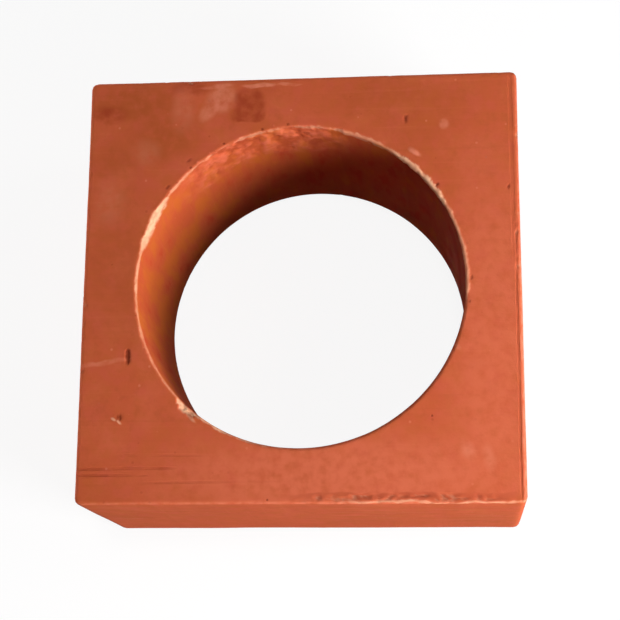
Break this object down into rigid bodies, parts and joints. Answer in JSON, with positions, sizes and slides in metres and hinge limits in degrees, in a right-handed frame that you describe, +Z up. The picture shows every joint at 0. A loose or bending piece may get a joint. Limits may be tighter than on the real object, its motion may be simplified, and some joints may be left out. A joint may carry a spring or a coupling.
{
  "type": "round-hole clay brick",
  "caption": "Square fired-clay screen brick with a large round through hole, laid in courses as an open wall that passes light and air.",
  "frame": {"origin": "middle of the wire-cut face that the brick lies on, on the axis of the hole", "axes": "+Z up along the hole, from the face it lies on to the other cut face; +X and +Y square to the sides"},
  "size_m": [0.2, 0.2, 0.1],
  "materials": {
    "fired_clay": "unglazed fired red clay, matt, wire-cut faces with drag marks and chipped rims, smooth extruded hole"
  },
  "bodies": {
    "root": {"clay_brick": "fired_clay"}
  },
  "joints": []
}
